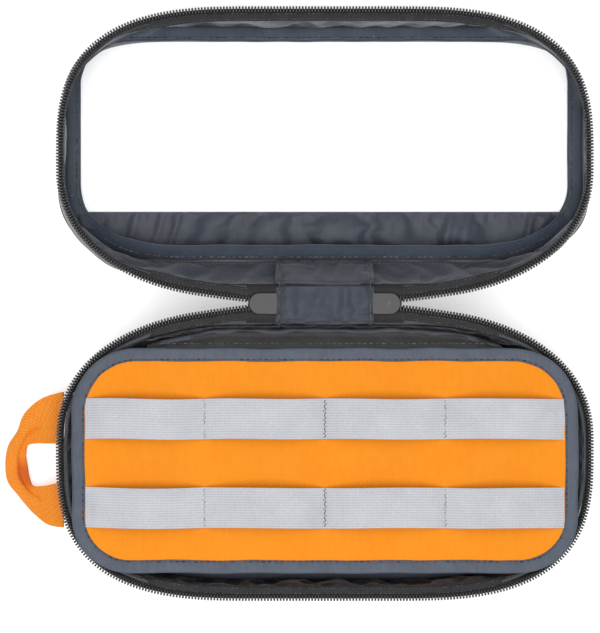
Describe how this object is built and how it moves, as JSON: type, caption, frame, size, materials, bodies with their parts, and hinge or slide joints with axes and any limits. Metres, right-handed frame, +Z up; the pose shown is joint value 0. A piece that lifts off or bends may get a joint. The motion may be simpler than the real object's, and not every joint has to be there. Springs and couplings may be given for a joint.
{
  "type": "cable organizer pouch",
  "caption": "Soft travel pouch that opens flat: zipped clamshell halves, clear lid window, bound organizer panel with elastic loops, and a webbing side handle.",
  "frame": {"origin": "centre of the base's underside, on the table", "axes": "+Z up, +X to the right along the hinge line, +Y from the base towards the opened lid"},
  "size_m": [0.2886, 0.292, 0.036],
  "materials": {
    "outer_fabric": "dark grey polyester twill",
    "foam": "closed-cell foam",
    "orange_fabric": "smooth orange nylon",
    "grey_lining": "thin wrinkled nylon",
    "black_lining": "thin wrinkled nylon",
    "binding_tape": "fine ribbed binding tape, lock-stitched",
    "zip_tape": "woven zipper tape",
    "zip_coil": "nylon coil",
    "thread": "bar-tack thread",
    "clear_window": "clear flexible sheet",
    "board": "thin stiffener sheet",
    "elastic": "ribbed woven elastic",
    "zip_metal": "gunmetal plating, satin",
    "orange_webbing": "woven nylon webbing"
  },
  "bodies": {
    "base": {"base_bottom_fabric": "outer_fabric", "base_bottom_foam": "foam", "base_floor_lining": "orange_fabric", "base_wall_fabric": "outer_fabric", "base_wall_foam": "foam", "base_wall_lining": "black_lining", "base_seam_binding": "binding_tape", "base_zip_tape": "zip_tape", "base_zip_coil": "zip_coil", "panel_hinge_flap": "black_lining"},
    "hinge_strip": {"hinge_strip_fabric": "outer_fabric", "hinge_strip_lining": "grey_lining", "zip_end_tapes": "zip_tape", "zip_end_coils": "zip_coil", "zip_end_stops": "thread"},
    "lid": {"lid_face_fabric": "outer_fabric", "lid_window": "clear_window", "lid_strip_lining": "grey_lining", "lid_wall_fabric": "outer_fabric", "lid_wall_lining": "grey_lining", "lid_seam_binding": "binding_tape", "lid_zip_tape": "zip_tape", "lid_zip_coil": "zip_coil"},
    "organizer_panel": {"panel_board": "board", "panel_front_fabric": "orange_fabric", "panel_back_fabric": "grey_lining", "panel_binding": "binding_tape", "upper_elastic_band": "elastic", "lower_elastic_band": "elastic"},
    "left_slider": {"left_slider": "zip_metal"},
    "right_slider": {"right_slider": "zip_metal"},
    "left_pull": {"left_pull_tab": "zip_metal"},
    "right_pull": {"right_pull_tab": "zip_metal"},
    "handle": {"handle_webbing": "orange_webbing"}
  },
  "joints": [
    {"name": "lid_fold", "type": "hinge", "parent": "base", "child": "lid", "pos_m": [0, 0.07425, 0.03], "axis": [1, 0, 0], "range_deg": [0, 180]},
    {"name": "strip_fold", "type": "hinge", "parent": "base", "child": "hinge_strip", "pos_m": [0, 0.07425, 0.03], "axis": [1, 0, 0], "range_deg": [0, 90]},
    {"name": "panel_flip", "type": "hinge", "parent": "base", "child": "organizer_panel", "pos_m": [0, 0.05265, 0.02905], "axis": [1, 0, 0], "range_deg": [-110, 0]},
    {"name": "left_slider_travel", "type": "slide", "parent": "hinge_strip", "child": "left_slider", "axis": [1, 0, 0], "range_m": [-0.02, 0]},
    {"name": "right_slider_travel", "type": "slide", "parent": "hinge_strip", "child": "right_slider", "axis": [-1, 0, 0], "range_m": [-0.02, 0]},
    {"name": "left_pull_swing", "type": "hinge", "parent": "left_slider", "child": "left_pull", "pos_m": [-0.0305, 0.07425, 0.0226], "axis": [0, 1, 0], "range_deg": [-70, 70]},
    {"name": "right_pull_swing", "type": "hinge", "parent": "right_slider", "child": "right_pull", "pos_m": [0.0305, 0.07425, 0.0226], "axis": [0, 1, 0], "range_deg": [-70, 70]},
    {"name": "handle_flex", "type": "hinge", "parent": "base", "child": "handle", "pos_m": [-0.1283, -0.00325, 0.01], "axis": [0, 1, 0], "range_deg": [0, 75]}
  ],
  "couplings": [
    {"joint": "strip_fold", "follows": "lid_fold", "ratio": 0.5}
  ]
}
